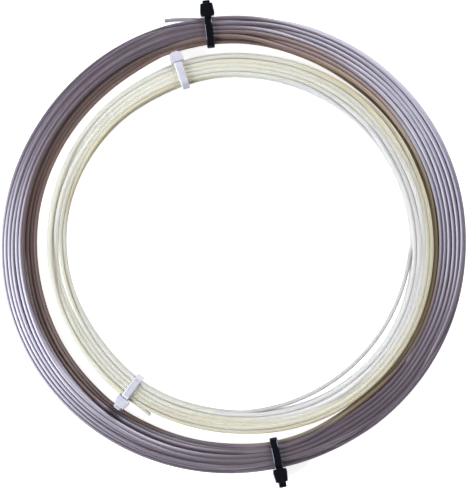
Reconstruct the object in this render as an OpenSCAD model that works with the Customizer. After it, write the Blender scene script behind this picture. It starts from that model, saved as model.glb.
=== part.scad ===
// Two hanks of racket string: a cream one lying inside a grey one, each held by two small cable ties.
// +Z is up. The origin is on the surface that they lie on, below the middle of the grey hank.
// Lengths are in millimetres, and angles in degrees anticlockwise from +X, seen from above.

/* [Grey string] */
// Gauge of the grey string
grey_d = 1.25; // [1.10:0.05:1.40]
// Radius of the grey hank, to the middle of its bundle
grey_r = 67.2; // [60:0.2:90]
// Strands in the middle row of the grey bundle
grey_row = 7; // [5:1:9]

/* [Cream string] */
// Gauge of the cream string
cream_d = 1.30; // [1.15:0.05:1.40]
// Strands in the middle row of the cream bundle
cream_row = 6; // [4:1:8]
// Gap left between the two hanks where the cream one lies against the grey one
lie_gap = 0.5; // [0.3:0.1:1.2]
// How far the slack turn of the cream string stands in from its bundle
slack = 1.5; // [1.3:0.1:2.5]
// Direction in which the slack turn stands clear of the bundle
slack_angle = 308; // [295:1:325]

/* [Cable ties] */
// Width of a strap
strap_w = 2.5; // [2:0.1:3]
// Thickness of a strap, teeth included
strap_t = 1.0; // [0.8:0.05:1.3]
// Distance from one ratchet tooth to the next
tooth_pitch = 0.8; // [0.6:0.05:1.0]
// Depth of a ratchet tooth
tooth_depth = 0.25; // [0.15:0.05:0.3]
// Gap between a strap and the strands that it holds
strap_clear = 0.1; // [0.05:0.05:0.2]
// Width of a head
head_w = 4.6; // [4.2:0.1:5.4]
// Wall of a head over its slot
head_wall = 0.75; // [0.5:0.05:1.0]
// Length of a black head along its slot
black_head_l = 4.2; // [3.6:0.1:5]
// Length of a white head along its slot
white_head_l = 2.9; // [2.7:0.1:3.4]
// Gap between a strap and the walls of its slot
slot_clear = 0.1; // [0.05:0.05:0.2]
// Depth of the chamber that the pawl bends into
chamber_h = 1.5; // [1.3:0.1:1.8]
// Running gap round the pawl
pawl_clear = 0.05; // [0.03:0.01:0.08]
// Gap between the white head nearest to the grey hank and that hank
head_gap = 0.25; // [0.15:0.05:0.5]

/* [Hidden] */

// The rows above and below the middle row nest in its hollows.
grey_side = grey_row - 3;
cream_side = cream_row - 1;

// Where each tie sits round its hank, and how far its trimmed tail stands out of the head.
black_top_angle = 96.5;
black_bottom_angle = 281.5;
white_top_angle = 109;
white_lower_angle = 233;
black_top_stub = 0.9;
black_bottom_stub = 1.7;
white_top_stub = 0.4;
white_lower_stub = 1.1;

function half_w(d, row) = row * d / 2;
function row_rise(d) = d * sin(60);
function half_h(d) = row_rise(d) + d / 2;

// A hank lies on the straps that pass below it.
base_z = strap_t + strap_clear;
grey_z = base_z + half_h(grey_d);
cream_z = base_z + half_h(cream_d);

// The cream hank is as large as the head of its upper tie allows inside the grey one.
grey_in = grey_r - half_w(grey_d, grey_row);
head_lean = -cos(white_top_angle);
ring_gap = (strap_clear + white_head_l + head_gap + lie_gap * head_lean) / (1 + head_lean);
cream_out = grey_in - ring_gap;
cream_r = cream_out - half_w(cream_d, cream_row);
cream_x = ring_gap - lie_gap;

// The slack turn is a flatter arc that leaves the bundle's inner side and comes back to it.
// Its middle runs beside the bundle's innermost strand, and its ends lie within that strand.
slack_beside = 0.6 * cream_d;
slack_shift = 3.3 * slack;
slack_share = 0.93;
slack_r = cream_r - half_w(cream_d, cream_row) - slack_beside + slack_shift;
slack_half = slack_share * acos(1 - slack / slack_shift);

// Free ends of the strings, from inside the bundle to the cut, each as
// [out from the bundle's outermost strand, along from the tie beside it, up].
grey_tail_route = [[0, 2.9, 0], [0.5, 5.3, 0], [0.8, 7.9, 0], [1.0, 10.7, 0], [1.0, 13.6, 0]];
cream_tail_route = [[-0.4, 2.9, 0], [-0.1, 5.3, 0], [0, 7.4, 0], [0.1, 9.7, 0]];

grey_rgb = [0.47, 0.43, 0.49];
cream_rgb = [0.88, 0.88, 0.84];
black_rgb = [0.08, 0.08, 0.10];
white_rgb = [0.90, 0.90, 0.94];

// ---- strings ----

// Section of a bundle: a middle row of strands, with a row nested above and below it.
// The outline keeps each outer strand's round back, down to a shallow notch between neighbours.
notch = 36;

// Strands round the upper half, from right to left, as [middle, first angle, last angle].
function upper_strands(d, row, side) =
  let (
    row_x = (row - 1) * d / 2,
    side_x = (side - 1) * d / 2,
    rise = row_rise(d),
    beyond = (row - side + 1) / 2
  )
  concat(
    [for (j = [0:beyond - 1])
      [[row_x - j * d, 0], j == 0 ? 0 : notch, (j == beyond - 1 ? 120 : 180) - notch]],
    [for (i = [0:side - 1])
      [[side_x - i * d, rise], notch - (i == 0 ? 60 : 0), (i == side - 1 ? 240 : 180) - notch]],
    [for (j = [beyond - 1:-1:0])
      [[j * d - row_x, 0], notch + (j == beyond - 1 ? 60 : 0), j == 0 ? 180 : 180 - notch]]
  );

function backs(strands, d, turned) =
  [for (s = strands)
    let (sweep = s[2] - s[1], steps = ceil(sweep / 20))
    for (k = [s[1] == 0 ? 1 : 0:steps])
      let (a = s[1] + sweep * k / steps + turned)
      (turned == 0 ? s[0] : -s[0]) + d / 2 * [cos(a), sin(a)]];

module bundle_section(d, row, side) {
  strands = upper_strands(d, row, side);
  polygon(concat(backs(strands, d, 0), backs(strands, d, 180)));
}

module coil(d, r, row, side) {
  rotate_extrude($fn = 180) translate([r, 0]) bundle_section(d, row, side);
}

function unit(v) = v / norm(v);
function heading(route, i) =
  unit(route[min(i + 1, len(route) - 1)] - route[max(i - 1, 0)]);

// A tube with a ring of its sides at each point of the route.
module tube(route, d, sides = 8) {
  last = len(route) - 1;
  rings = [
    for (i = [0:last])
      let (t = heading(route, i), u = unit(cross([0, 0, 1], t)), v = cross(t, u))
      for (k = [0:sides - 1])
        route[i] + (cos(360 * (k + 0.5) / sides) * u + sin(360 * (k + 0.5) / sides) * v) * d / 2
  ];
  walls = [
    for (i = [0:last - 1], k = [0:sides - 1])
      let (n = (k + 1) % sides)
      [i * sides + k, (i + 1) * sides + k, (i + 1) * sides + n, i * sides + n]
  ];
  ends = [
    [for (k = [0:sides - 1]) k],
    [for (k = [sides - 1:-1:0]) last * sides + k]
  ];
  polyhedron(rings, concat(walls, ends));
}

module grey_string_coil() {
  color(grey_rgb) translate([0, 0, grey_z]) coil(grey_d, grey_r, grey_row, grey_side);
}

module grey_string_tail() {
  color(grey_rgb) on_grey(black_top_angle)
    translate([(grey_row - 1) / 2 * grey_d, 0, 0]) tube(grey_tail_route, grey_d);
}

module cream_string_coil() {
  color(cream_rgb) translate([cream_x, 0, cream_z]) coil(cream_d, cream_r, cream_row, cream_side);
}

module cream_string_tail() {
  color(cream_rgb) on_cream(white_lower_angle)
    translate([(cream_row - 1) / 2 * cream_d, 0, 0]) tube(cream_tail_route, cream_d);
}

module cream_slack_turn() {
  color(cream_rgb)
    translate([cream_x - slack_shift * cos(slack_angle), -slack_shift * sin(slack_angle), cream_z])
      rotate(slack_angle - slack_half)
        rotate_extrude(angle = 2 * slack_half, $fn = 180)
          translate([slack_r, 0]) circle(d = cream_d, $fn = 48);
}

// ---- cable ties ----
// A tie is drawn in the plane of its loop, [outwards from the hank's middle, up], about the
// middle of the bundle, and then swung round to its place.
// tie = [gauge, strands in the middle row, strands beside it, slope of the strap, length of the head].
black_tie = [grey_d, grey_row, grey_side, 30, black_head_l];
white_tie = [cream_d, cream_row, cream_side, 45, white_head_l];

// Height of the toothed face in the slot, above the middle of the bundle.
slot_z = 0.9;
slot_top = slot_z + strap_t + slot_clear;
slot_w = strap_w + 2 * slot_clear;
head_top = slot_top + head_wall;
head_h = 5.2;
// Inside radius of the strap's bend into the slot.
bend_r = strap_t + 0.2;

function head_x(tie) = half_w(tie[0], tie[1]) + strap_clear;
function slope(tie) = tie[3];
function head_l(tie) = tie[4];

// Corner strands that the strap wraps, from the root to the tail.
function wrap_corners(tie) =
  let (side_x = (tie[2] - 1) * tie[0] / 2, row_x = (tie[1] - 1) * tie[0] / 2, rise = row_rise(tie[0]))
  [[side_x, -rise], [-side_x, -rise], [-row_x, 0], [-side_x, rise], [side_x, rise]];

// Directions of travel before, between and after those corners.
function wrap_aims(tie) =
  let (c = wrap_corners(tie), flank = atan2(c[3][1] - c[2][1], c[3][0] - c[2][0]))
  [180 + slope(tie), 180, 180 - flank, flank, 0, -slope(tie)];

function wrap_points(tie) =
  let (c = wrap_corners(tie), aims = wrap_aims(tie), r = tie[0] / 2 + strap_clear)
  [for (k = [0:4])
    let (swing = aims[k] - aims[k + 1], steps = max(1, ceil(swing / 12)))
    for (i = [0:steps])
      let (a = aims[k] - swing * i / steps)
      [c[k][0] + r * cos(a + 90), c[k][1] + r * sin(a + 90), a]];

// From the last corner the strap slopes down and bends level into the slot.
function tail_points(tie, stub) =
  let (
    wrap = wrap_points(tie),
    from = wrap[len(wrap) - 1],
    corner = from[0] + (from[1] - slot_z) / tan(slope(tie)),
    level = corner + bend_r * tan(slope(tie) / 2)
  )
  concat(
    [for (i = [0:3]) let (a = -slope(tie) * (1 - i / 3))
      [level + bend_r * sin(a), slot_z + bend_r * (1 - cos(a)), a]],
    [[head_x(tie) + head_l(tie) + stub, slot_z, 0]]
  );

// The root leaves the head's inner face along the first slope, and is cut off flush with that face.
function root_point(tie) =
  let (w = wrap_points(tie)[0])
  [head_x(tie), w[1] + (head_x(tie) - w[0]) * tan(slope(tie)), 180 + slope(tie)];

function strap_line(tie, stub) =
  concat([root_point(tie)], wrap_points(tie), tail_points(tie, stub));

function running(line) =
  [for (i = 0, s = 0; i < len(line);
    s = s + (i + 1 < len(line) ? norm([line[i + 1][0] - line[i][0], line[i + 1][1] - line[i][1]]) : 0),
    i = i + 1) s];

// Point of the line at the distance s, moved out by h from the bundle.
function along(line, lengths, s, h) =
  let (
    i = max([for (k = [0:len(line) - 2]) lengths[k] <= s ? k : 0]),
    f = (s - lengths[i]) / max(0.0001, lengths[i + 1] - lengths[i]),
    p = line[i] * (1 - f) + line[i + 1] * f
  )
  [p[0] - h * sin(p[2]), p[1] + h * cos(p[2])];

// The teeth start after a plain length at the root. Each has a land, a ramp and a steep back,
// and their places are counted from the mouth of the slot.
root_plain = 1.2;
tip_plain = 0.1;
tooth_land = 0.25;
tooth_crest = 0.9;

module strap(tie, stub) {
  line = strap_line(tie, stub);
  lengths = running(line);
  total = lengths[len(line) - 1];
  slot_s = total - head_l(tie) - stub;
  first = -floor((slot_s - root_plain) / tooth_pitch);
  last = floor((head_l(tie) + stub - tip_plain) / tooth_pitch) - 1;
  toothed = [
    for (k = [first:last], step = [[0, 0], [tooth_land, 0], [tooth_crest, tooth_depth]])
      along(line, lengths, slot_s + (k + step[0]) * tooth_pitch, step[1])
  ];
  outside = [for (i = [len(line) - 1:-1:1]) along(line, lengths, lengths[i], strap_t)];
  root = along(line, lengths, 0, 0);
  root_outside = root - [0, strap_t / cos(slope(tie))];
  rotate([90, 0, 0]) linear_extrude(strap_w, center = true)
    polygon(concat([root], toothed, [along(line, lengths, total, 0)], outside, [root_outside]));
}

// A polygon with each corner rounded.
function rounded(points, r) =
  let (n = len(points))
  [for (i = [0:n - 1])
    let (
      p = points[i],
      a = unit(points[(i + n - 1) % n] - p),
      b = unit(points[(i + 1) % n] - p),
      half = acos(a * b) / 2,
      c = p + unit(a + b) * r / sin(half),
      from = atan2((p + a * r / tan(half) - c)[1], (p + a * r / tan(half) - c)[0]),
      turn = 180 - 2 * half
    )
    for (k = [0:3]) c + r * [cos(from + turn * k / 3), sin(from + turn * k / 3)]];

// A head narrows towards the end that the tail comes out of, seen from above and from the side.
module head_blank(tie) {
  x0 = head_x(tie);
  x1 = x0 + head_l(tie);
  widest = x0 + 0.25 * head_l(tie);
  intersection() {
    translate([0, 0, head_top - head_h]) linear_extrude(head_h)
      polygon(rounded([
        [x0, -0.46 * head_w], [widest, -0.5 * head_w], [x1, -0.42 * head_w],
        [x1, 0.42 * head_w], [widest, 0.5 * head_w], [x0, 0.46 * head_w]
      ], 0.4));
    rotate([90, 0, 0]) linear_extrude(head_w, center = true)
      polygon(rounded([
        [x0, head_top - head_h], [x1, head_top - head_h + 0.4], [x1, head_top - 0.3], [x0, head_top]
      ], 0.25));
  }
}

// The pawl turns in a round seat at the end of its chamber nearest to the bundle.
seat_wall = 0.35;
seat_r = 0.45;

function pawl_pivot(tie) = [head_x(tie) + seat_wall + seat_r, slot_z - chamber_h + seat_r];

module head(tie) {
  x0 = head_x(tie);
  pivot = pawl_pivot(tie);
  difference() {
    head_blank(tie);
    rotate([90, 0, 0]) linear_extrude(slot_w, center = true) {
      translate([x0 - 1, slot_z - slot_clear]) square([head_l(tie) + 2, strap_t + 2 * slot_clear]);
      translate([pivot[0], slot_z - chamber_h]) square([head_l(tie), chamber_h]);
      translate([pivot[0] - seat_r, pivot[1]]) square([seat_r + 0.1, slot_z - pivot[1]]);
      polygon([[x0 - 0.1, slot_top - 0.1], [x0 - 0.1, slot_top + 0.36], [x0 + 0.5, slot_top]]);
    }
    translate([pivot[0], 0, pivot[1]]) rotate([90, 0, 0])
      cylinder(r = seat_r, h = slot_w, center = true, $fn = 48);
  }
}

// A tongue with ratchet teeth that lies against the strap and bends down into the chamber.
tip_t = 0.55;
tip_beyond = 0.15;

module pawl(tie) {
  x0 = head_x(tie);
  pivot = pawl_pivot(tie);
  r = seat_r - pawl_clear;
  face = slot_z - 1.6 * pawl_clear;
  teeth = floor((head_l(tie) - 2 * pawl_clear) / tooth_pitch) - 2;
  tip = x0 + (teeth + 1) * tooth_pitch + tip_beyond;
  rotate([90, 0, 0]) linear_extrude(strap_w - 2 * slot_clear, center = true) {
    translate(pivot) circle(r = r, $fn = 48);
    polygon(concat(
      [[pivot[0], pivot[1] - r], [tip, face - tip_t], [tip, face]],
      [for (k = [teeth:-1:1], step = [[0.78, 0], [0.72, 0.5], [0.30, 0]])
        [x0 + (k + step[0]) * tooth_pitch, face + step[1] * tooth_depth]],
      [[pivot[0] + 0.1, face], [pivot[0] - r, pivot[1] + 0.2], [pivot[0] - r, pivot[1]]]
    ));
  }
}

module on_grey(angle) {
  rotate(angle) translate([grey_r, 0, grey_z]) children();
}

module on_cream(angle) {
  translate([cream_x, 0, 0]) rotate(angle) translate([cream_r, 0, cream_z]) children();
}

module black_top_strap() {
  color(black_rgb) on_grey(black_top_angle) strap(black_tie, black_top_stub);
}
module black_top_head() {
  color(black_rgb) on_grey(black_top_angle) head(black_tie);
}
module black_top_pawl() {
  color(black_rgb) on_grey(black_top_angle) pawl(black_tie);
}
module black_bottom_strap() {
  color(black_rgb) on_grey(black_bottom_angle) strap(black_tie, black_bottom_stub);
}
module black_bottom_head() {
  color(black_rgb) on_grey(black_bottom_angle) head(black_tie);
}
module black_bottom_pawl() {
  color(black_rgb) on_grey(black_bottom_angle) pawl(black_tie);
}
module white_top_strap() {
  color(white_rgb) on_cream(white_top_angle) strap(white_tie, white_top_stub);
}
module white_top_head() {
  color(white_rgb) on_cream(white_top_angle) head(white_tie);
}
module white_top_pawl() {
  color(white_rgb) on_cream(white_top_angle) pawl(white_tie);
}
module white_lower_strap() {
  color(white_rgb) on_cream(white_lower_angle) strap(white_tie, white_lower_stub);
}
module white_lower_head() {
  color(white_rgb) on_cream(white_lower_angle) head(white_tie);
}
module white_lower_pawl() {
  color(white_rgb) on_cream(white_lower_angle) pawl(white_tie);
}

grey_string_coil();
grey_string_tail();
cream_string_coil();
cream_string_tail();
cream_slack_turn();
black_top_strap();
black_top_head();
black_top_pawl();
black_bottom_strap();
black_bottom_head();
black_bottom_pawl();
white_top_strap();
white_top_head();
white_top_pawl();
white_lower_strap();
white_lower_head();
white_lower_pawl();
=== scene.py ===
import math

import bmesh
import bpy
import numpy as np
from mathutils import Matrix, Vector


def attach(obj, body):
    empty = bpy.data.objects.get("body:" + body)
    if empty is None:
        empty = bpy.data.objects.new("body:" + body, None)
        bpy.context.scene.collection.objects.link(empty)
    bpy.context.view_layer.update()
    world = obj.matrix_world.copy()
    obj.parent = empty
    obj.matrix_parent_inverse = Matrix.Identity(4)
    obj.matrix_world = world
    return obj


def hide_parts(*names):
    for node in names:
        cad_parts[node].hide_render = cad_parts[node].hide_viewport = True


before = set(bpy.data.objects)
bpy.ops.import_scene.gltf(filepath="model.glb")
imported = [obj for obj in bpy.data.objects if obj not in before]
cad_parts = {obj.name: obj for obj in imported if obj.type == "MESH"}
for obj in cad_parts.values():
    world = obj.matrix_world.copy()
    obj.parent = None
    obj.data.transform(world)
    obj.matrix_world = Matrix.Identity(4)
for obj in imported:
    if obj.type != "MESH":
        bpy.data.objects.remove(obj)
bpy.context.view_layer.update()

MM = 0.001


def rad(degrees):
    return math.radians(degrees)


# ---------------------------------------------------------------- camera

camera_data = bpy.data.cameras.new("camera")
camera_data.lens = 283
camera_data.sensor_width = 36
camera_data.clip_end = 10
camera = bpy.data.objects.new("camera", camera_data)
bpy.context.collection.objects.link(camera)
camera.location = (0.000125, 0.00006, 1.2035)
bpy.context.scene.camera = camera

# ---------------------------------------------------------------- strings

# Each hank is wound turn after turn. A strand's place in the bundle is given in diameters from
# the bundle's middle, outwards and upwards, in the order in which the turns are wound: "held"
# where a cable tie binds it, and "left" and "right" between the ties, where the bundle lies flat.
# "past_first" and "at_second" replace some of the held places, on the left and near the second tie.
# Each turn starts in its own place and crosses to the next one in "cross" of a turn, somewhere
# between the two shares of a turn that "crossing" gives.
# "middle" is the radius of the bundle's middle line, "shift" how far the hank lies to the right, and
# "height" how high it lies, in millimetres. "start", in turn "first_turn", and "end", in turn 0, are
# the directions of the string's two ends, and "end_tie" says which tie the second one leaves beside.
# "spread" is how many degrees the bundle takes to open beside a tie, on the left and on the right.

# The height of a row of strands that lie in the grooves of the row below, the heights of the grey
# bundle's two rows on the right, and the height of the lowest row on its left, in diameters.
ROW = math.sin(rad(60))
LOW, HIGH = -1.35, -0.5
FLAT = -1.6

GREY = dict(
    name="grey_string", diameter=1.25, middle=67.2, shift=0.0, height=2.8075,
    ties=(96.5, 281.5), end_tie=0, start=282, end=96, first_turn=-15,
    held=[(3, 0), (2, 0), (1.5, -ROW), (0.5, -ROW), (0, 0), (-0.5, -ROW), (-1.5, -ROW), (-2, 0),
          (-3, 0), (-1.5, ROW), (-1, 0), (-0.5, ROW), (0.5, ROW), (1, 0), (1.5, ROW), (2.94, 0)],
    past_first={1: (2.7, -0.95)},
    at_second={0: (1.5, -ROW), 1: (2.94, 0), 2: (2, 0)},
    left=[(4.3, FLAT), (4.3, FLAT), (3.38, FLAT + 0.4), (1.95, FLAT), (0.95, FLAT), (-0.05, FLAT),
          (-1.05, FLAT), (-3.05, FLAT), (-4.1, FLAT), (-2.05, FLAT), (-0.5, FLAT + 0.87),
          (-0.4, FLAT + 1.8), (0.6, FLAT + 1.55), (1.54, FLAT + 1.2), (2.45, FLAT + 0.82), (4.3, FLAT)],
    right=[(3, HIGH)] + [(3.5 - k, LOW) for k in range(8)] + [(k - 3, HIGH) for k in range(7)],
    crossing=(0.53, 0.73), cross=0.07, spread=(8, 24), slack_turn=None, seed=3,
)
CREAM = dict(
    name="cream_string", diameter=1.30, middle=56.3504, shift=2.0746, height=2.8758,
    ties=(109, 233), end_tie=1, start=237, end=234, first_turn=-16,
    held=[(-2, -ROW)] + [(k - 2, -ROW) for k in range(5)] + [(1.5 - k, 0) for k in range(5)]
        + [(k - 2, ROW) for k in range(5)] + [(2.5, 0)],
    past_first={}, at_second={},
    crossing=(0.40, 0.63), cross=0.09, spread=(24, 24), slack_turn=10, seed=5,
)
# Between its ties the cream bundle keeps its three rows, a little flatter and lower down.
CREAM["left"] = CREAM["right"] = [(x, z * 0.95 - 0.7) for x, z in CREAM["held"]]

# Inner and outer side of each bundle, in millimetres from the grey hank's middle, at a few angles round it.
GREY["inner"] = {0: 62.2, 50: 61.8, 100: 62.8, 120: 61.8, 140: 61.5, 170: 61.6, 190: 61.2, 220: 61.7,
                 250: 62.1, 282: 62.6, 300: 62.1, 340: 62.3}
GREY["outer"] = {25: 73.2, 50: 73.0, 75: 72.0, 95: 71.6, 120: 72.0, 145: 72.0, 180: 73.0, 200: 73.6,
                 220: 73.4, 250: 72.4, 280: 71.6, 310: 72.0, 340: 72.7}
CREAM["inner"] = {0: 55.1, 20: 54.9, 60: 53.1, 80: 52.2, 105: 51.9, 140: 52.1, 170: 52.6, 190: 52.0,
                  215: 50.7, 265: 51.6, 280: 52.6, 295: 54.3, 310: 55.3, 340: 56.1}
CREAM["outer"] = {5: 63.3, 20: 62.9, 60: 61.0, 80: 60.1, 120: 59.4, 145: 59.2, 165: 58.7, 210: 58.4,
                  235: 59.0, 255: 59.0, 280: 60.5, 300: 62.3, 320: 63.1, 340: 63.3}

# Degrees from one place where the strands are laid to the next, and the number of such places.
STEP = 3
STATIONS = 360 // STEP

# Degrees on either side of a tie in which it holds the strands tight, and of the second tie in which
# its own held places count.
TIGHT = 2
SECOND_REACH = 60

# The widest that strands are spaced between the ties, in diameters, on the left and on the right.
LOOSEST = (1.02, 1.1)

# Millimetres between a string and what it passes or lies on.
CLEARANCE = 0.1

# Degrees from the middle of a white tie's head in which the grey strands pass beside it, and those
# in which they come back to their places.
HEAD_REACH, HEAD_FADE = 3, 5

# Between these angles the slack turn of the cream string follows an arc with a middle and a radius
# of its own, in millimetres.
SLACK_FROM, SLACK_TO = 262, 358
SLACK_MIDDLE = (-1.0, 3.9)
SLACK_RADIUS = 56.64

# Slow swings of each strand: how many there are to a turn, and how wide they are, in diameters.
SWINGS = ((3.37, 0.09), (5.71, 0.06), (8.23, 0.04))

# The degrees over which a value that is given at a few angles bends softly from one to the next.
SOFT_BEND = (-8, -4, 0, 4, 8)


def ease(t):
    t = np.clip(t, 0, 1)
    return t * t * (3 - 2 * t)


def round_ring(values, angles):
    """The value at each of the angles, where values gives it at a few, with soft bends there."""
    at, value = list(values), list(values.values())
    return sum(np.interp(angles + shift, at, value, period=360) for shift in SOFT_BEND) / len(SOFT_BEND)


def degrees_apart(angles, angle):
    return np.abs((angles - angle + 180) % 360 - 180)


def middle_radius(hank, angles):
    """Distance from the grey hank's middle to the middle of the bundle, in the direction of each angle."""
    a = np.radians(angles)
    return hank["shift"] * np.cos(a) + np.sqrt(hank["middle"] ** 2 - (hank["shift"] * np.sin(a)) ** 2)


def seen_angle(hank, angle):
    """Direction from the grey hank's middle of a tie that sits at this angle round its own hank."""
    a = rad(angle)
    to_the_right = hank["shift"] + hank["middle"] * math.cos(a)
    return math.degrees(math.atan2(hank["middle"] * math.sin(a), to_the_right)) % 360


def slack_radius(angles):
    """Distance from the grey hank's middle to the arc of the slack turn, in the direction of each angle."""
    a = np.radians(angles)
    out = SLACK_MIDDLE[0] * np.cos(a) + SLACK_MIDDLE[1] * np.sin(a)
    return out + np.sqrt(out ** 2 + SLACK_RADIUS ** 2 - SLACK_MIDDLE[0] ** 2 - SLACK_MIDDLE[1] ** 2)


def wander(hank, angles):
    """How far a strand swings to either side of its place, and half as far up and down, in diameters."""
    swing = np.random.default_rng(hank["seed"])
    total = np.zeros((len(angles), 2))
    for waves, size in SWINGS:
        phase = swing.uniform(0, 2 * math.pi, 2)
        total += size * np.sin(np.radians(angles)[:, None] * waves + phase)
    return total * (1, 0.5)


def beside_head(node_name, angles, low, diameter):
    """The grey bundle's inner limit, moved out where the head of a white tie stands beside it."""
    corners = np.array([v.co[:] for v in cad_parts[node_name].data.vertices]) / MM
    reach = np.hypot(corners[:, 0], corners[:, 1]).max() + CLEARANCE + diameter / 2
    angle = np.degrees(np.arctan2(corners[:, 1].mean(), corners[:, 0].mean()))
    away = degrees_apart(angles, angle)
    return low + np.maximum(reach - low, 0) * (1 - ease((away - HEAD_REACH) / HEAD_FADE))


def wind(hank):
    """The string before its turns have settled: the angles, each strand's place across and up the bundle,
    how firmly a tie binds it there, and its inner and outer limits."""
    diameter = hank["diameter"]
    angles = np.arange(hank["start"] + 360 * hank["first_turn"], hank["end"] + 1, STEP)
    turns = (angles - seen_angle(hank, hank["ties"][hank["end_tie"]])) / 360
    turn = np.floor(turns).astype(int)
    number = turn - turn[0]
    # Each turn crosses a little earlier than the one before it.
    begin, end = hank["crossing"]
    begin = begin + (end - begin - hank["cross"]) * (1 - number / number[-1])
    passed = ease((turns - turn - begin) / hank["cross"])[:, None]
    first_tie, second_tie = sorted(seen_angle(hank, tie) for tie in hank["ties"])
    around = np.mod(angles, 360)
    on_left = (around > first_tie) & (around < second_tie)
    near_second = np.abs(around - second_tie) < SECOND_REACH

    def places(name, changes):
        table = np.array([changes.get(k, spot) for k, spot in enumerate(hank[name])])
        return table[number] * (1 - passed) + table[number + 1] * passed

    held = np.where(on_left[:, None], places("held", hank["past_first"]), places("held", {}))
    held = np.where(near_second[:, None], places("held", hank["at_second"]), held)
    free = np.where(on_left[:, None], places("left", {}), places("right", {})) + wander(hank, angles)
    bound = np.zeros(len(angles))
    spread = np.where(on_left, *hank["spread"])
    for tie in (first_tie, second_tie):
        bound = np.maximum(bound, 1 - ease((degrees_apart(angles, tie) - TIGHT) / spread))
    low = round_ring(hank["inner"], angles) + diameter / 2
    high = round_ring(hank["outer"], angles) - diameter / 2
    widest = np.where(on_left, *(max(abs(x) for x, z in hank[side]) for side in ("left", "right")))
    loosest = np.where(on_left, *LOOSEST) * diameter
    across = high - (widest - free[:, 0]) * np.minimum((high - low) / 2 / widest, loosest)
    middle = middle_radius(hank, angles)
    x = (middle + held[:, 0] * diameter) * bound + across * (1 - bound)
    z = (held[:, 1] * bound + free[:, 1] * (1 - bound)) * diameter
    edge = max(x for x, z in hank["held"]) * diameter
    low = low * (1 - bound) + (middle - edge) * bound
    high = high * (1 - bound) + (middle + edge) * bound
    if hank is GREY:
        for head in ("white_top_head", "white_lower_head"):
            low = beside_head(head, angles, low, diameter)
    if hank["slack_turn"]:
        slack = (number == hank["slack_turn"]) & (around > SLACK_FROM) & (around < SLACK_TO)
        arc = slack_radius(angles)
        x = np.where(slack, np.minimum(x, arc), x)
        low = np.where(slack, np.minimum(low, arc), low)
        high = np.where(slack, np.minimum(high, np.maximum(arc, low)), high)
    return angles, x, z, bound, low, high


# The rounds in which the turns push each other apart. In each one, strands that overlap go the share
# PUSH of the way out of each other, every strand goes the share RETURN of the way back to where it was
# laid, and the string's start, inside the bundle, the share END_RETURN.
ROUNDS = 400
PUSH, RETURN, END_RETURN = 0.6, 0.02, 0.3

# From this height on, in millimetres, a cream strand may lie over the grey ones, fully so this much higher.
OVER_FROM, OVER_RISE = 1.8, 0.6


def settle(hank):
    """Lets the turns push each other apart until they lie side by side, each in one smooth line."""
    angles, x, z, bound, low, high = wind(hank)
    diameter = hank["diameter"]
    place = np.stack([x, z], 1)
    home = place.copy()
    station = (angles // STEP).astype(int) % STATIONS
    turn = (angles // STEP).astype(int) // STATIONS
    turn -= turn.min()
    count = turn.max() + 1
    grid = np.full((STATIONS, count), -1)
    grid[station, turn] = np.arange(len(angles))
    there = grid >= 0
    pair = there[:, :, None] & there[:, None, :] & ~np.eye(count, dtype=bool)
    free = (1 - bound)[:, None]
    beside = round_ring(GREY["inner"], angles) - diameter / 2 - CLEARANCE if hank is CREAM else high
    for _ in range(ROUNDS):
        strands = place[grid]
        gap = strands[:, :, None] - strands[:, None, :]
        distance = np.sqrt((gap ** 2).sum(-1)) + 1e-9
        push = np.where(pair & (distance < diameter), (diameter - distance) / distance / 2, 0)
        move = (gap * push[..., None]).sum(2)
        shift = np.zeros_like(place)
        shift[grid[there]] = move[there]
        # A strand gives way fully once it is a quarter free of its tie.
        place = place + shift * PUSH * np.clip(free * 4, 0, 1)
        longer = np.concatenate([2 * place[:1] - place[2:0:-1], place, 2 * place[-1:] - place[-2:-4:-1]])
        even = (-longer[:-4] + 4 * longer[1:-3] + 10 * longer[2:-2] + 4 * longer[3:-1] - longer[4:]) / 16
        place = place + (even - place) * free
        place = place + (home - place) * RETURN * free
        place[:4] += (home[:4] - place[:4]) * END_RETURN
        over = ease((place[:, 1] + hank["height"] - OVER_FROM) / OVER_RISE)
        place[:, 0] = np.clip(place[:, 0], low, high * over + np.minimum(high, beside) * (1 - over))
        place[:, 1] = np.maximum(place[:, 1], diameter / 2 + CLEARANCE - hank["height"])
    return angles, place


def route(hank):
    """The line of the string through its hank, with a point at each degree, in millimetres."""
    angles, place = settle(hank)
    fine = np.arange(angles[0], angles[-1] + 0.5)
    out = np.interp(fine, angles, place[:, 0])
    up = np.interp(fine, angles, place[:, 1])
    a = np.radians(fine)
    return np.stack([out * np.cos(a), out * np.sin(a), up + hank["height"]], 1)


def free_end(hank, out_and_along):
    """The points of the end beside a tie: out from the outermost strand and along it, in millimetres."""
    a = rad(hank["ties"][hank["end_tie"]])
    out = Vector((math.cos(a), math.sin(a), 0))
    along = Vector((-math.sin(a), math.cos(a), 0))
    edge = hank["middle"] + hank["held"][-1][0] * hank["diameter"]
    at = Vector((hank["shift"], 0, hank["height"]))
    return np.array([at + out * (edge + outwards) + along * onwards for outwards, onwards in out_and_along])


def give_attribute(mesh, name, kind, values):
    """Keeps values, one for each vertex, in the mesh. kind is FLOAT or FLOAT_VECTOR."""
    field = mesh.attributes.new(name, kind, "POINT")
    entry = "vector" if kind == "FLOAT_VECTOR" else "value"
    field.data.foreach_set(entry, values.astype(np.float32).ravel())


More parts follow.
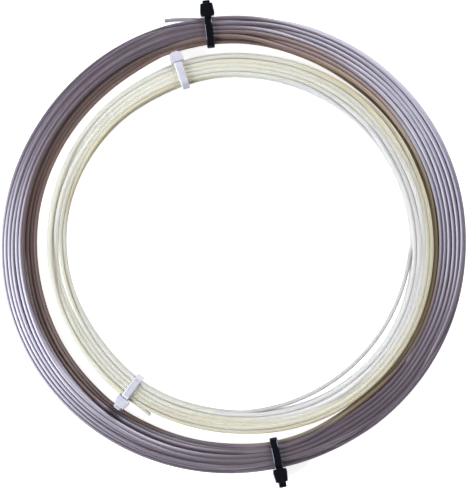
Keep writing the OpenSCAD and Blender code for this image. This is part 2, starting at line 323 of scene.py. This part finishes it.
def string(hank, points, tints):
    """A round tube along the points. Each of tints becomes an attribute, with a value for each point."""
    radius = hank["diameter"] / 2
    data = bpy.data.curves.new(hank["name"], "CURVE")
    data.dimensions = "3D"
    data.bevel_depth = radius * MM
    data.bevel_resolution = 4
    data.use_fill_caps = True
    line = data.splines.new("POLY")
    line.points.add(len(points) - 1)
    line.points.foreach_set("co", np.column_stack([points * MM, np.ones(len(points))]).ravel())
    curve = bpy.data.objects.new(hank["name"] + "_line", data)
    bpy.context.collection.objects.link(curve)
    mesh = bpy.data.meshes.new_from_object(curve.evaluated_get(bpy.context.evaluated_depsgraph_get()))
    bpy.data.objects.remove(curve)
    piece = bpy.data.objects.new(hank["name"], mesh)
    bpy.context.collection.objects.link(piece)
    for face in mesh.polygons:
        face.use_smooth = True
    # The two end faces come first in the mesh, then a ring of vertices for each point.
    rings = len(mesh.vertices) // (len(points) + 2)
    order = np.repeat(np.concatenate([[len(points) - 1, 0], np.arange(len(points))]), rings)
    around = np.arange(len(mesh.vertices)) % rings * 2 * math.pi / rings
    along = np.concatenate([[0], np.cumsum(np.linalg.norm(np.diff(points, axis=0), axis=1))])[order]
    straight = np.column_stack([along, np.cos(around) * radius, np.sin(around) * radius])
    give_attribute(mesh, "straight", "FLOAT_VECTOR", straight)
    for name, values in tints.items():
        give_attribute(mesh, name, "FLOAT", values[order])
    return piece


def directions(points):
    """The directions of the points from the grey hank's middle, in degrees."""
    return np.degrees(np.arctan2(points[:, 1], points[:, 0]))


def from_edge(hank, side, points):
    """How far the points lie within the inner or outer side of the bundle, in millimetres."""
    inwards = 1 if side == "inner" else -1
    return (np.hypot(points[:, 0], points[:, 1]) - round_ring(hank[side], directions(points))) * inwards


def band(hank, side, points, width):
    """1 for the points within a band of this width along one side of the bundle, fading to 0 beyond it."""
    wide = round_ring(width, directions(points))
    deep = np.maximum(from_edge(hank, side, points), 0)
    return (1 - ease(deep - wide - 0.5)) * ease(wide * 2)


def loose_points(winding, end):
    """1 for the points of the free end from its third one on, and 0 for all those before them."""
    return np.concatenate([np.zeros(len(winding) - 1), np.arange(len(end)) >= 2])


grey_route = route(GREY)
cream_route = route(CREAM)
grey_end = free_end(GREY, [(0, 0), (0, 2.9), (0.5, 5.3), (0.8, 7.9), (1.0, 10.7), (1.0, 13.6)])
cream_end = free_end(CREAM, [(0, 0), (-0.4, 2.9), (-0.1, 5.3), (0, 7.4), (0.1, 9.7)])
grey_path = np.vstack([grey_route[:-1], grey_end])
cream_path = np.vstack([cream_route[:-1], cream_end])

# The width of each tinted band along a side of a bundle, in millimetres at a few angles. The first band,
# on the grey bundle's inner side, is painted shade: there the grey string is browner and has less sheen.
# The second, on the sides on which the hanks touch, is painted shade with a painted reflection of the
# other hank. The others are on the cream bundle: the third where its inner side is tanner, the fourth
# painted shade that makes its outer side a little tanner, the fifth painted shade that dims the innermost
# strand, the sixth where the strands of the inner side are whiter, and the last for the strand at an edge
# all round.
SHADED_BROWN = {15: 0.8, 60: 3.1, 80: 3.4, 110: 2.3, 150: 3.6, 190: 4.2, 220: 3.3, 230: 2.3, 247: 0, 292: 0,
         340: 1.9}
TOUCH_SHADE = {0: 0.8, 30: 1.5, 50: 1.0, 76: 0, 270: 0, 300: 1.0, 330: 0.8}
TAN = {92: 0, 120: 1.2, 135: 1.4, 150: 1.2, 178: 0}
OUTER_SHADE = {0: 2.5, 10: 2.0, 40: 2.0, 70: 0, 225: 0, 240: 1.5, 270: 5.5, 290: 5.0, 320: 4.0}
RIM = {0: 0.6, 65: 0.6, 85: 0, 255: 0, 275: 0.6}
PALE = {0: 3.5, 20: 3.5, 50: 2.0, 70: 0, 262: 0, 290: 2.5, 330: 2.5, 350: 3.5}
ONE_STRAND = {0: 0.6}

# The grey string is tinted in a band of this width at most, where the hanks touch, as painted shade with a
# painted reflection of the cream.
OLIVE_SHADE_WIDEST = 0.9

# How strongly the cream string is tinted where the hanks touch and where its inner side is tanner, and on
# its outer side. The tints where the hanks touch and on the outer side are painted shade.
TAN_AND_TOUCH_SHADE_STRENGTH, OUTER_SHADE_STRENGTH = 0.8, 0.4

olive_shade_width = {angle: min(width, OLIVE_SHADE_WIDEST) for angle, width in TOUCH_SHADE.items()}
grey_string = string(GREY, grey_path, {
    "brown": band(GREY, "inner", grey_path, SHADED_BROWN),
    "olive": band(GREY, "inner", grey_path, olive_shade_width),
    "free": loose_points(grey_route, grey_end),
})
# Painted shade where the hanks touch, together with the tan of part of the inner side.
tan_and_touch_shade = np.maximum(band(CREAM, "outer", cream_path, TOUCH_SHADE), band(CREAM, "inner", cream_path, TAN)) * TAN_AND_TOUCH_SHADE_STRENGTH
# outermost is the strand on the cream bundle's outer side, which the cream finish darkens as painted shade.
outermost = band(CREAM, "outer", cream_path, ONE_STRAND)
# slack is 1 on the turn that has sprung clear, and 0 from 0.6 mm within the bundle's inner side; the cream
# finish darkens that lone turn as painted shade. nested marks the strands within the bundle, on whose sides
# the cream finish paints light, and rim the innermost strand, which it dims as painted shade.
cream_string = string(CREAM, cream_path, {
    # The tan attribute is painted shade where the hanks touch and on the outer side, and the tan of part of
    # the inner side.
    "tan": np.maximum(tan_and_touch_shade, band(CREAM, "outer", cream_path, OUTER_SHADE) * OUTER_SHADE_STRENGTH),
    "free": loose_points(cream_route, cream_end),
    "outermost": outermost,
    "nested": (1 - outermost) * (1 - band(CREAM, "inner", cream_path, ONE_STRAND)),
    "slack": ease(1.2 - 2 * from_edge(CREAM, "inner", cream_path)),
    "pale": band(CREAM, "inner", cream_path, PALE),
    "rim": band(CREAM, "inner", cream_path, RIM),
})
for piece, hank, nodes in (
        (grey_string, GREY, ("grey_string_coil", "grey_string_tail")),
        (cream_string, CREAM, ("cream_string_coil", "cream_string_tail", "cream_slack_turn"))):
    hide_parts(*nodes)
    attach(piece, "grey_hank" if hank is GREY else "cream_hank")

# ---------------------------------------------------------------- finishes

# Depth of the fine grain in a surface, in metres, and the cells of the moulded grain to a metre.
GRAIN = 0.00001
MOULDED_GRAIN = 4000


def finish(name, colour, roughness=0.4):
    material = bpy.data.materials.new(name)
    material.use_nodes = True
    shader = material.node_tree.nodes["Principled BSDF"]
    shader.inputs["Base Color"].default_value = (*colour, 1)
    shader.inputs["Roughness"].default_value = roughness
    return material, material.node_tree, shader


def attribute(tree, name, output="Fac"):
    reader = tree.nodes.new("ShaderNodeAttribute")
    reader.attribute_name = name
    return reader.outputs[output]


def noise(tree, vector, cells, detail):
    """A noise pattern with this many cells to each unit of the vector, along each of its axes."""
    place = tree.nodes.new("ShaderNodeMapping")
    place.inputs["Scale"].default_value = cells
    tree.links.new(vector, place.inputs["Vector"])
    pattern = tree.nodes.new("ShaderNodeTexNoise")
    pattern.inputs["Scale"].default_value = 1
    pattern.inputs["Detail"].default_value = detail
    tree.links.new(place.outputs[0], pattern.inputs["Vector"])
    return pattern.outputs["Fac"]


def ramp(tree, factor, *stops):
    """A colour for each value of factor, between these (value, colour) stops."""
    colours = tree.nodes.new("ShaderNodeValToRGB")
    while len(colours.color_ramp.elements) < len(stops):
        colours.color_ramp.elements.new(0.5)
    for element, (value, colour) in zip(colours.color_ramp.elements, stops):
        element.position = value
        element.color = (*colour, 1)
    tree.links.new(factor, colours.inputs["Fac"])
    return colours.outputs["Color"]


def mix(tree, factor, a, b):
    """Colour a, or the colour b where the factor is 1. a and b are sockets or colours."""
    blend = tree.nodes.new("ShaderNodeMix")
    blend.data_type = "RGBA"
    tree.links.new(factor, blend.inputs["Factor"])
    for value, socket in ((a, blend.inputs[6]), (b, blend.inputs[7])):
        if isinstance(value, tuple):
            socket.default_value = (*value, 1)
        else:
            tree.links.new(value, socket)
    return blend.outputs[2]


def between(tree, factor, low, high):
    """A number from low to high as the pattern goes from 0.3 to 0.7."""
    scale = tree.nodes.new("ShaderNodeMapRange")
    for name, value in (("From Min", 0.3), ("From Max", 0.7), ("To Min", low), ("To Max", high)):
        scale.inputs[name].default_value = value
    tree.links.new(factor, scale.inputs["Value"])
    return scale.outputs[0]


def relief(tree, shader, height, evenly=0.0):
    """A fine grain in the surface. evenly turns the surface towards the sky, as light that has gone from
    strand to strand leaves a bundle."""
    bump = tree.nodes.new("ShaderNodeBump")
    if evenly:
        turned = tree.nodes.new("ShaderNodeMix")
        turned.data_type = "VECTOR"
        turned.inputs[0].default_value = evenly
        turned.inputs[5].default_value = (0, 0, 1)
        tree.links.new(tree.nodes.new("ShaderNodeNewGeometry").outputs["Normal"], turned.inputs[4])
        unit = tree.nodes.new("ShaderNodeVectorMath")
        unit.operation = "NORMALIZE"
        tree.links.new(turned.outputs[1], unit.inputs[0])
        tree.links.new(unit.outputs[0], bump.inputs["Normal"])
    bump.inputs["Strength"].default_value = 0.6
    bump.inputs["Distance"].default_value = GRAIN
    tree.links.new(height, bump.inputs["Height"])
    tree.links.new(bump.outputs[0], shader.inputs["Normal"])


def grey_polyester():
    """A brown body under a pearly lavender sheen, drawn out along the string."""
    material, tree, shader = finish("grey_polyester", (0.12, 0.08, 0.09))
    shader.inputs["IOR"].default_value = 6.5
    shader.inputs["Anisotropic"].default_value = 0.8
    shader.inputs["Anisotropic Rotation"].default_value = 0.25
    shader.inputs["Subsurface Weight"].default_value = 0.4
    shader.inputs["Subsurface Radius"].default_value = (1, 0.9, 0.8)
    shader.inputs["Subsurface Scale"].default_value = 0.0008
    tangent = tree.nodes.new("ShaderNodeTangent")
    tangent.direction_type = "UV_MAP"
    tangent.uv_map = "UVMap"
    tree.links.new(tangent.outputs[0], shader.inputs["Tangent"])
    straight = attribute(tree, "straight", "Vector")
    lengths = noise(tree, straight, (0.009, 0, 0), 3)
    streaks = noise(tree, straight, (0.05, 4, 4), 3)
    body = ramp(tree, lengths, (0.35, (0.085, 0.048, 0.062)), (0.65, (0.13, 0.077, 0.093)))
    # Painted shade: the string is browner on the bundle's inner side, and olive beside the cream hank,
    # where a painted reflection of the cream goes with it. Painted light: the loose end is paler, as if lit
    # from all sides.
    for name, colour in (("brown", (0.20, 0.135, 0.12)), ("olive", (0.26, 0.20, 0.11)),
                         ("free", (0.36, 0.32, 0.34))):
        body = mix(tree, attribute(tree, name), body, colour)
    tree.links.new(body, shader.inputs["Base Color"])
    sheen = ramp(tree, lengths, (0.35, (0.66, 0.64, 0.76)), (0.65, (0.96, 0.93, 1.0)))
    # Painted shade: less sheen on the bundle's inner side.
    sheen = mix(tree, attribute(tree, "brown"), sheen, (0.38, 0.31, 0.30))
    tree.links.new(sheen, shader.inputs["Specular Tint"])
    tree.links.new(between(tree, streaks, 0.56, 0.68), shader.inputs["Roughness"])
    relief(tree, shader, streaks)
    return material


def steepness(tree, most):
    """How steep a surface is: 0 on the top of a strand, and most on its sides."""
    upward = tree.nodes.new("ShaderNodeSeparateXYZ")
    tree.links.new(tree.nodes.new("ShaderNodeNewGeometry").outputs["Normal"], upward.inputs[0])
    steep = tree.nodes.new("ShaderNodeMapRange")
    steep.inputs["From Min"].default_value = 0.96
    steep.inputs["From Max"].default_value = 0.52
    tree.links.new(upward.outputs["Z"], steep.inputs["Value"])
    tree.links.new(most, steep.inputs["To Max"])
    return steep.outputs[0]


def cream_multifilament():
    """Milky twisted filaments under a clear skin, yellower in some lengths than in others. The string glows
    a little and is lighter on the sides of its strands within the bundle, which is painted light.
    """
    material, tree, shader = finish("cream_multifilament", (0.79, 0.78, 0.68), roughness=0.6)
    shader.inputs["Specular IOR Level"].default_value = 0.2
    # Painted light: a glow, most of it on the sides of strands within the bundle.
    shader.inputs["Emission Strength"].default_value = 0.25
    shader.inputs["Subsurface Weight"].default_value = 1.0
    shader.inputs["Subsurface Radius"].default_value = (1, 0.95, 0.8)
    shader.inputs["Subsurface Scale"].default_value = 0.003
    straight = attribute(tree, "straight", "Vector")
    lengths = noise(tree, straight, (0.012, 0, 0), 3)
    filaments = noise(tree, straight, (0.12, 5, 5), 3)
    milk = ramp(tree, lengths, (0.36, (0.79, 0.735, 0.66)), (0.5, (0.78, 0.735, 0.60)),
                (0.64, (0.78, 0.715, 0.53)))
    # Painted shade: the outermost strand, the innermost rim and the slack turn are darker, and the tan is
    # painted shade where the hanks touch and on the outer side, besides the tan of part of the inner side.
    # The loose end is darker, and the inner side whiter.
    for name, colour in (("outermost", (0.66, 0.62, 0.51)), ("tan", (0.60, 0.51, 0.34)),
                         ("pale", (0.74, 0.70, 0.66)), ("rim", (0.67, 0.64, 0.61)),
                         ("free", (0.70, 0.66, 0.60)), ("slack", (0.52, 0.505, 0.49))):
        milk = mix(tree, attribute(tree, name), milk, colour)
    # Painted light: between strands that lie side by side their sides are lighter and glow more, in place
    # of the light that goes on from one to the next.
    between_strands = steepness(tree, attribute(tree, "nested"))
    painted_fill = mix(tree, attribute(tree, "pale"), (0.93, 0.885, 0.73), (0.90, 0.87, 0.83))
    glow = mix(tree, attribute(tree, "pale"), (0.90, 0.85, 0.68), (0.95, 0.92, 0.87))
    tree.links.new(mix(tree, between_strands, milk, painted_fill), shader.inputs["Base Color"])
    tree.links.new(mix(tree, between_strands, (0.22, 0.205, 0.165), glow), shader.inputs["Emission Color"])
    tree.links.new(between(tree, filaments, 0.5, 0.65), shader.inputs["Roughness"])
    relief(tree, shader, filaments, evenly=0.85)
    return material


def moulded_nylon(name, colour, patches, darkest, lightest, glossiest, dullest):
    """Moulded nylon with a faint grain, and a little duller in patches, so many of them to a metre."""
    material, tree, shader = finish(name, colour)
    here = tree.nodes.new("ShaderNodeTexCoord").outputs["Object"]
    dull = noise(tree, here, (patches, patches, patches), 3)
    tree.links.new(ramp(tree, dull, (0.3, darkest), (0.7, lightest)), shader.inputs["Base Color"])
    tree.links.new(between(tree, dull, glossiest, dullest), shader.inputs["Roughness"])
    relief(tree, shader, noise(tree, here, (MOULDED_GRAIN, MOULDED_GRAIN, MOULDED_GRAIN), 2))
    return material, shader


def black_nylon():
    material, shader = moulded_nylon("black_nylon", (0.006, 0.006, 0.011), patches=900,
                                     darkest=(0.001, 0.001, 0.003), lightest=(0.003, 0.003, 0.008),
                                     glossiest=0.08, dullest=0.16)
    shader.inputs["IOR"].default_value = 1.7
    shader.inputs["Specular Tint"].default_value = (0.82, 0.87, 1, 1)
    return material


def white_nylon():
    material, shader = moulded_nylon("white_nylon", (0.80, 0.80, 0.86), patches=700,
                                     darkest=(0.60, 0.58, 0.635), lightest=(0.68, 0.66, 0.72),
                                     glossiest=0.28, dullest=0.42)
    shader.inputs["Subsurface Weight"].default_value = 0.5
    shader.inputs["Subsurface Radius"].default_value = (0.9, 0.95, 1)
    shader.inputs["Subsurface Scale"].default_value = 0.0012
    return material


grey_string.data.materials.append(grey_polyester())
cream_string.data.materials.append(cream_multifilament())
black_finish = black_nylon()
white_finish = white_nylon()

# ---------------------------------------------------------------- cable ties

# How wide the edges of a strap and of a head are rounded, in metres, and the most degrees by which the
# surface turns at an edge that looks smooth.
STRAP_ROUND = 0.00038
HEAD_ROUND = 0.00035
SMOOTH_UP_TO = 35


def strap_rail(edge, along, middle):
    """True for the edges that run along the outside of a strap, between its face and its sides."""
    normals = [f.normal for f in edge.link_faces]
    outer = [n for n in normals if abs(n.dot(along)) < 0.9]
    if len(outer) != 1:
        return False
    at = (edge.verts[0].co + edge.verts[1].co) / 2
    faces_out = outer[0].dot((at - middle).normalized()) > 0.3
    on_top = outer[0].z > 0.5 and at.z > 2 * MM
    return faces_out or on_top


def head_rail(edge, along, middle):
    """True for the edges between the top of a head and its two long sides."""
    top, side = sorted((f.normal for f in edge.link_faces), key=lambda n: abs(n.dot(along)))
    return top.z > 0.3 and abs(side.dot(along)) > 0.8 and top.angle(side) > rad(50)


def moulding(node_name, body, material, hank, tie_angle, rail, round_edge):
    """A copy of a CAD node with its outer edges rounded, as moulded nylon has them."""
    a = rad(tie_angle)
    along = Vector((-math.sin(a), math.cos(a), 0))
    middle = Vector((hank["shift"] + hank["middle"] * math.cos(a), hank["middle"] * math.sin(a),
                     hank["height"])) * MM
    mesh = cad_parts[node_name].data.copy()
    mesh.name = node_name + "_moulding"
    form = bmesh.new()
    form.from_mesh(mesh)
    bmesh.ops.remove_doubles(form, verts=form.verts, dist=1e-6)
    bmesh.ops.dissolve_limit(form, angle_limit=rad(1), verts=form.verts, edges=form.edges)
    rails = [e for e in form.edges if len(e.link_faces) == 2 and rail(e, along, middle)]
    bmesh.ops.bevel(form, geom=rails, offset=round_edge, segments=4, profile=0.5, affect="EDGES",
                    clamp_overlap=False)
    bmesh.ops.recalc_face_normals(form, faces=form.faces)
    for face in form.faces:
        face.smooth = True
    for edge in form.edges:
        edge.smooth = edge.calc_face_angle(0) < rad(SMOOTH_UP_TO)
    form.to_mesh(mesh)
    form.free()
    mesh.materials.clear()
    mesh.materials.append(material)
    piece = bpy.data.objects.new(mesh.name, mesh)
    bpy.context.collection.objects.link(piece)
    flat = piece.modifiers.new("flat_faces", "WEIGHTED_NORMAL")
    flat.keep_sharp = True
    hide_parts(node_name)
    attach(piece, body)


for tie, hank, number, nylon, material in (
        ("black_top", GREY, 0, "black_nylon", black_finish),
        ("black_bottom", GREY, 1, "black_nylon", black_finish),
        ("white_top", CREAM, 0, "white_nylon", white_finish),
        ("white_lower", CREAM, 1, "white_nylon", white_finish)):
    tie_angle = hank["ties"][number]
    moulding(tie + "_strap", tie + "_tie", material, hank, tie_angle, strap_rail, STRAP_ROUND)
    moulding(tie + "_head", tie + "_tie", material, hank, tie_angle, head_rail, HEAD_ROUND)
    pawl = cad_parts[tie + "_pawl"]
    pawl.data.materials.clear()
    pawl.data.materials.append(material)

# ---------------------------------------------------------------- floor and light

PAPER_GLOW = 0.8


def white_paper():
    """White paper that also glows where it is looked at or mirrored, so that it stays an even white."""
    material = bpy.data.materials.new("white_paper")
    material.use_nodes = True
    tree = material.node_tree
    tree.nodes.clear()
    out = tree.nodes.new("ShaderNodeOutputMaterial")
    diffuse = tree.nodes.new("ShaderNodeBsdfDiffuse")
    diffuse.inputs["Color"].default_value = (0.8, 0.8, 0.8, 1)
    glow = tree.nodes.new("ShaderNodeEmission")
    ray = tree.nodes.new("ShaderNodeLightPath")
    seen = tree.nodes.new("ShaderNodeMath")
    seen.operation = "MAXIMUM"
    tree.links.new(ray.outputs["Is Camera Ray"], seen.inputs[0])
    reflected = tree.nodes.new("ShaderNodeMath")
    reflected.operation = "MAXIMUM"
    tree.links.new(ray.outputs["Is Glossy Ray"], reflected.inputs[0])
    tree.links.new(ray.outputs["Is Transmission Ray"], reflected.inputs[1])
    tree.links.new(reflected.outputs[0], seen.inputs[1])
    strength = tree.nodes.new("ShaderNodeMath")
    strength.operation = "MULTIPLY"
    strength.inputs[1].default_value = PAPER_GLOW
    tree.links.new(seen.outputs[0], strength.inputs[0])
    tree.links.new(strength.outputs[0], glow.inputs["Strength"])
    both = tree.nodes.new("ShaderNodeAddShader")
    tree.links.new(diffuse.outputs[0], both.inputs[0])
    tree.links.new(glow.outputs[0], both.inputs[1])
    tree.links.new(both.outputs[0], out.inputs["Surface"])
    return material


def softbox(name, azimuth, elevation, distance, width, height, watts, colour):
    """A lamp of this width and height, in metres, that faces the grey hank's middle."""
    data = bpy.data.lights.new(name, "AREA")
    data.shape = "RECTANGLE"
    data.size = width
    data.size_y = height
    data.energy = watts
    data.color = colour
    lamp = bpy.data.objects.new(name, data)
    bpy.context.collection.objects.link(lamp)
    a, e = rad(azimuth), rad(elevation)
    lamp.location = Vector((math.cos(a) * math.cos(e), math.sin(a) * math.cos(e), math.sin(e))) * distance
    lamp.rotation_euler = (-lamp.location).to_track_quat("-Z", "Y").to_euler()


bpy.ops.mesh.primitive_plane_add(size=8)
floor = bpy.context.object
floor.name = "floor"
floor.data.materials.append(white_paper())

world = bpy.data.worlds.new("room")
bpy.context.scene.world = world
world.use_nodes = True
background = world.node_tree.nodes["Background"]
background.inputs["Color"].default_value = (1, 0.93, 0.90, 1)
background.inputs["Strength"].default_value = 0.105

softbox("left_softbox", azimuth=197, elevation=23, distance=1.2, width=1.2, height=0.6, watts=30,
        colour=(0.86, 0.93, 1.0))
softbox("back_softbox", azimuth=53, elevation=24, distance=1.2, width=0.9, height=0.45, watts=16,
        colour=(0.90, 0.94, 1.0))

bpy.context.scene.view_settings.view_transform = "Standard"
